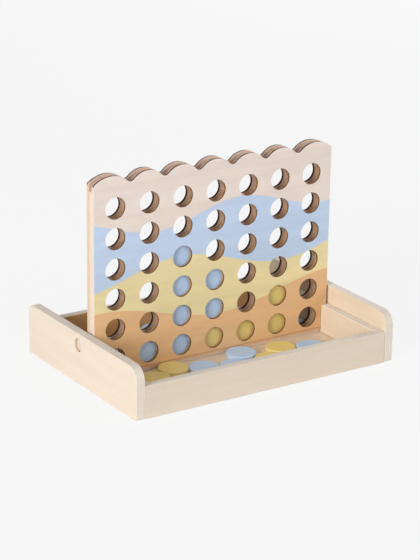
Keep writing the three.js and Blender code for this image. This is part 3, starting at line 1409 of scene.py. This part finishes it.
@dataclass
class DiscSet:
    """The discs of both colours, in the board and loose in the tray.

    Attributes:
        each: The number of discs of one colour.
        edge_radius: The radius of a disc's round edges.
        edge_steps: The steps of a round edge.
        segments: The steps of a full turn.
        flat_margin: From a round edge in to the ring that keeps a face flat, in edge radii.
        rubbed_margin: From the rim in to where it is rubbed, in edge radii.
        trunk: The length of wood that the discs' grain is taken from.
        seed: The start of the discs' own grain and tone.
        pieces: The discs of each colour.
    """

    each: int = 21
    edge_radius: float = 0.9 * MM
    edge_steps: int = 5
    segments: int = 64
    flat_margin: float = 0.3
    rubbed_margin: float = 1.4
    trunk: float = 3.0
    seed: int = 4
    pieces: dict[DiscColour, list[Piece]] = field(default_factory=dict)

    def build(self) -> None:
        """Builds every disc of both colours."""
        chance = np.random.default_rng(self.seed)
        for colour in DiscColour:
            names = [f"disc_{colour.value}_{number:02d}" for number in range(1, self.each + 1)]
            self.pieces[colour] = [self.disc(node, chance) for node in names]

    def dress(self, finishes: dict[DiscColour, Material]) -> list[Object]:
        """Gives every disc the paint of its colour.

        Args:
            finishes: The paint of each colour.

        Returns:
            The finished objects.
        """
        return [
            piece.dress([finishes[colour]], f"{colour.value}_discs")
            for colour, pieces in self.pieces.items()
            for piece in pieces
        ]

    def profile(self, radius: float, half: float) -> np.ndarray:
        """Half a disc's outline: flat faces, and a quarter circle at each edge.

        Args:
            radius: The disc's radius.
            half: Half its thickness.

        Returns:
            Radius and height of each point, from the middle of the lower face to that of the upper.
        """
        soft = self.edge_radius
        inner = radius - soft
        near = inner - self.flat_margin * soft
        lower = arc((inner, soft - half), soft, -90.0, 0.0, self.edge_steps)
        upper = arc((inner, half - soft), soft, 0.0, 90.0, self.edge_steps)
        return np.concatenate([[(0.0, -half), (near, -half)], lower, upper, [(near, half), (0.0, half)]])

    def disc(self, node: str, chance: np.random.Generator) -> Piece:
        """A disc where its solid is: its profile turned about the solid's thin axis.

        Args:
            node: The solid that it stands for.
            chance: Where the disc's own grain and tone come from.

        Returns:
            The piece.
        """
        low, high = span(node)
        size = high - low
        axis = Axis(int(np.argmin(size)))
        centre = (low + high) / 2
        radius = np.delete(size, int(axis)).max() / 2
        full_turn = np.linspace(0.0, math.tau, self.segments + 1)
        surface = turned(self.profile(radius, size[axis] / 2), full_turn, axis, centre)
        mesh = make_mesh(node, [Patch(surface)])
        local = mesh_points(mesh) - centre
        flat = np.delete(local, int(axis), axis=1)
        turn = chance.uniform(0.0, math.tau)
        along = flat @ np.array([math.cos(turn), math.sin(turn)])
        across = flat @ np.array([-math.sin(turn), math.cos(turn)])
        places = np.stack([along, across, local[:, axis]], axis=-1) + chance.uniform(0.0, self.trunk, 3)
        inwards = (radius - np.linalg.norm(flat, axis=1)) / self.edge_radius
        write_attribute(mesh, GRAIN, places)
        write_attribute(mesh, TONE, np.full(len(local), chance.uniform(0.0, 1.0)))
        write_attribute(mesh, RIM, np.clip(self.rubbed_margin - inwards, 0.0, 1.0))
        return Piece(node, node, mesh)


# The studio


@dataclass(frozen=True)
class Lamp:
    """A large soft lamp.

    Attributes:
        name: Its name.
        power: Its power, in watts.
        place: Where it stands.
        size: How wide it is.
    """

    name: str
    power: float
    place: tuple[float, float, float]
    size: float = 1.6


@dataclass
class Studio:
    """A pale floor, soft light and the camera.

    Attributes:
        aim: The point that the camera looks at.
        distance: How far the camera stands from it.
        azimuth: The camera's turn about Z, in degrees.
        elevation: Its height above the horizon, in degrees.
        roll: Its tilt to the side, in degrees.
        lens: Its focal length on a 36 mm sensor, in millimetres.
        floor_size: The length of the floor.
        floor_gap: How far the floor lies below the tray.
        floor_roughness: How matt the floor is.
        floor_glow: How far the floor is lifted towards the background where it is seen.
        pale: The colour of the background.
        sky: The strength of the light from all round.
        sky_tone: Its colour.
        lamps: The lamps: a strong low one on the left, and weak ones above, in front and behind.
    """

    aim: tuple[float, float, float] = (-5.163 * MM, -5.75 * MM, 82.255 * MM)
    distance: float = 2.051434
    azimuth: float = -33.251
    elevation: float = 19.445
    roll: float = 0.85
    lens: float = 136.41
    floor_size: float = 24.0
    floor_gap: float = 0.1 * MM
    floor_roughness: float = 0.9
    floor_glow: float = 0.9
    pale: Tone = Tone(249, 249, 249)
    sky: float = 0.06
    sky_tone: Tone = Tone(255, 240, 222)
    lamps: Sequence[Lamp] = (
        Lamp("key_lamp", 85.0, (-2.65, -1.07, 0.99)),
        Lamp("top_lamp", 17.5, (0.1, -0.4, 3.0)),
        Lamp("fill_lamp", 27.0, (1.5, -2.4, 1.0)),
        Lamp("back_lamp", 41.0, (2.2, 2.0, 0.7)),
    )

    def build(self) -> None:
        """Builds the floor, the lights and the camera."""
        bpy.context.scene.view_settings.view_transform = "Standard"
        self.add_floor()
        self.add_sky()
        for lamp in self.lamps:
            self.add_lamp(lamp)
        self.add_camera()

    def seen_directly(self, wiring: Wiring) -> NodeSocket:
        """Tells what is seen from what only gives light.

        Args:
            wiring: The tree.

        Returns:
            1 for a ray from the camera, and for one that glossy or clear things send on.
        """
        path = wiring.add("ShaderNodeLightPath").outputs
        mirrored = wiring.math("MAXIMUM", path["Is Glossy Ray"], path["Is Transmission Ray"])
        return wiring.math("MAXIMUM", path["Is Camera Ray"], mirrored)

    def mix(self, wiring: Wiring, share: NodeSocket, lit: Node, shown: Node, output: str) -> None:
        """Ends a tree with a mix of two shaders.

        Args:
            wiring: The tree.
            share: How much of the second shader there is.
            lit: The shader that takes or gives light.
            shown: The shader with the background's own colour.
            output: The name of the tree's output node.
        """
        mixed = wiring.add("ShaderNodeMixShader", {0: share, 1: lit.outputs[0], 2: shown.outputs[0]})
        wiring.feed(wiring.tree.nodes[output], {"Surface": mixed.outputs[0]})

    def add_floor(self) -> None:
        """Adds a square floor: pale paint, lifted towards the background's colour where it is seen."""
        reach = (-self.floor_size / 2, self.floor_size / 2)
        mesh = make_mesh("studio_floor", [Patch(lifted(grid(reach, reach), Axis.Z, -self.floor_gap))])
        floor = bpy.data.objects.new("studio_floor", mesh)
        bpy.context.scene.collection.objects.link(floor)
        material, wiring, shader = open_material("studio_paper")
        wiring.feed(shader, {"Base Color": self.pale, "Roughness": self.floor_roughness})
        glow = wiring.add("ShaderNodeEmission", {"Color": self.pale, "Strength": 1.0})
        share = wiring.math("MULTIPLY", self.seen_directly(wiring), self.floor_glow)
        self.mix(wiring, share, shader, glow, "Material Output")
        mesh.materials.append(material)

    def add_sky(self) -> None:
        """Adds even light from all round, behind which the background's own colour shows."""
        world = bpy.data.worlds.new("studio_sky")
        world.use_nodes = True
        bpy.context.scene.world = world
        wiring = Wiring(world.node_tree)
        light = world.node_tree.nodes["Background"]
        wiring.feed(light, {"Color": self.sky_tone, "Strength": self.sky})
        paper = wiring.add("ShaderNodeBackground", {"Color": self.pale, "Strength": 1.0})
        self.mix(wiring, self.seen_directly(wiring), light, paper, "World Output")

    def add_lamp(self, lamp: Lamp) -> None:
        """Adds a round soft lamp that points at the camera's aim.

        Args:
            lamp: Its power, place and size.
        """
        light = bpy.data.lights.new(lamp.name, "AREA")
        light.shape = "DISK"
        light.size = lamp.size
        light.energy = lamp.power
        stand = bpy.data.objects.new(lamp.name, light)
        stand.location = lamp.place
        stand.rotation_euler = (Vector(self.aim) - Vector(lamp.place)).to_track_quat("-Z", "Y").to_euler()
        bpy.context.scene.collection.objects.link(stand)

    def add_camera(self) -> None:
        """Adds the camera: back from its aim along the view, with its right and up after the roll."""
        turn, tilt, roll = (math.radians(angle) for angle in (self.azimuth, self.elevation, self.roll))
        back = Vector((math.sin(turn) * math.cos(tilt), -math.cos(turn) * math.cos(tilt), math.sin(tilt)))
        level = Vector((math.cos(turn), math.sin(turn), 0.0))
        upright = back.cross(level)
        right = math.cos(roll) * level + math.sin(roll) * upright
        up = math.cos(roll) * upright - math.sin(roll) * level
        lens = bpy.data.cameras.new("camera")
        lens.lens = self.lens
        camera = bpy.data.objects.new("camera", lens)
        place = Matrix((right, up, back)).transposed().to_4x4()
        place.translation = Vector(self.aim) + self.distance * back
        camera.matrix_world = place
        bpy.context.scene.collection.objects.link(camera)
        bpy.context.scene.camera = camera


def make_finishes(effects: Effects) -> dict[str, Material]:
    """Mixes every finish of the game.

    Args:
        effects: The shared node groups.

    Returns:
        The materials by name.
    """
    ply = 3.8 * MM
    ply_layer, tray_layer = ply / 3, 1.29 * MM
    # The dark share of the hole walls is char and painted shade.
    hole_char_and_shade, front_char, rear_char = 0.44, 0.57, 0.18
    sooty = 0.1
    fields = (
        (Wave(152 * MM, 10 * MM, 190 * MM, 0.1), Tone(190, 209, 234)),
        (Wave(101 * MM, 12 * MM, 236 * MM, 0.42), Tone(234, 218, 166)),
        (Wave(59 * MM, 12 * MM, 272 * MM, 0.72), Tone(232, 188, 139)),
        # The last two fields are not print: a thin dark band from 7.8 to 8.7 mm is a painted shadow line at
        # the panels' foot, and a tan band runs below it.
        (Wave(8.7 * MM), Tone(196, 150, 108)),
        (Wave(7.8 * MM), Tone(226, 184, 142)),
    )
    finishes = [
        VeneerFinish("tray_veneer", Tone(223, 209, 192), Tone(219, 204, 186), Tone(190, 165, 136)),
        # A warmer, more saturated copy of the tray veneer for the faces inside the tray: the two copies
        # paint the outer faces as in full light and the inner ones as in shade.
        VeneerFinish("inner_shade_veneer", Tone(224, 206, 183), Tone(219, 200, 176), Tone(186, 155, 122)),
        # A browner, darker copy of the veneer for the rear wall's inner face: painted deep shade.
        VeneerFinish("deep_shade_veneer", Tone(212, 168, 120), Tone(202, 156, 108), Tone(152, 112, 74)),
        LayerFinish("tray_edge", Tone(231, 221, 208), Tone(224, 214, 201), Tone(203, 191, 175), tray_layer),
        VeneerFinish("plug_wood", Tone(221, 205, 186), Tone(212, 192, 168), Tone(176, 148, 118)),
        PrintFinish("printed_veneer", Tone(229, 215, 206), fields),
        VeneerFinish("raw_veneer", Tone(233, 205, 185), Tone(226, 197, 177), Tone(176, 140, 114)),
        # The hole walls are laser char, darkened and widened to paint the shade in the holes as well; the
        # rear walls go nearly black at the rear face, painted shade behind the front panel.
        BurntFinish(
            "front_hole", Tone(88, 58, 36), Tone(181, 143, 96), Tone(179, 141, 94),
            ply, hole_char_and_shade, gloss=sooty,
        ),
        BurntFinish(
            "rear_hole", Tone(44, 14, 3), Tone(198, 158, 118), Tone(186, 147, 108),
            ply, hole_char_and_shade, gloss=sooty,
        ),
        BurntFinish(
            "front_crest", Tone(66, 36, 21), Tone(208, 183, 167), Tone(198, 171, 155),
            ply, front_char,
        ),
        BurntFinish(
            "rear_crest", Tone(56, 43, 36), Tone(216, 190, 174), Tone(204, 176, 159),
            ply, rear_char,
        ),
        LayerFinish("front_side", Tone(226, 210, 201), Tone(220, 203, 192), Tone(196, 174, 156), ply_layer),
        LayerFinish("rear_side", Tone(220, 200, 174), Tone(208, 184, 152), Tone(186, 160, 128), ply_layer),
        VeneerFinish("strip_wood", Tone(227, 212, 199), Tone(219, 201, 184), Tone(180, 152, 124)),
        PaintFinish("blue_paint", Tone(188, 215, 246), Tone(181, 208, 242), Tone(208, 223, 243)),
        PaintFinish("yellow_paint", Tone(236, 215, 140), Tone(230, 206, 124), Tone(239, 224, 168)),
    ]
    return {finish.name: finish.material(effects) for finish in finishes}


def write_sizes() -> None:
    """Updates the view layer, so that every object's place is current.
    """
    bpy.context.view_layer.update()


def main() -> None:
    """Builds and dresses the tray, the board and the discs, sets up the studio and reports the pieces."""
    logging.basicConfig(level=logging.INFO, format="%(name)s: %(message)s")
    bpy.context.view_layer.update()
    finishes = make_finishes(Effects.make())
    tray_names = ("tray_veneer", "tray_edge", "plug_wood", "inner_shade_veneer", "deep_shade_veneer")
    # Each panel's hole walls take the finish that paints shade over the char.
    panel_names = [
        ("printed_veneer", "raw_veneer", f"{panel}_hole", f"{panel}_side", f"{panel}_crest")
        for panel in ("front", "rear")
    ]
    tray = Tray()
    tray.build()
    pieces = tray.dress([finishes[name] for name in tray_names])
    board = Board()
    board.build()
    panel_finishes = [[finishes[name] for name in names] for names in panel_names]
    pieces += board.dress(panel_finishes, finishes["strip_wood"])
    discs = DiscSet()
    discs.build()
    pieces += discs.dress({colour: finishes[f"{colour.value}_paint"] for colour in DiscColour})
    Studio().build()
    write_sizes()
    for piece in pieces:
        log.info("%s: %d faces", piece.name, len(piece.data.polygons))


if __name__ == "__main__":
    main()
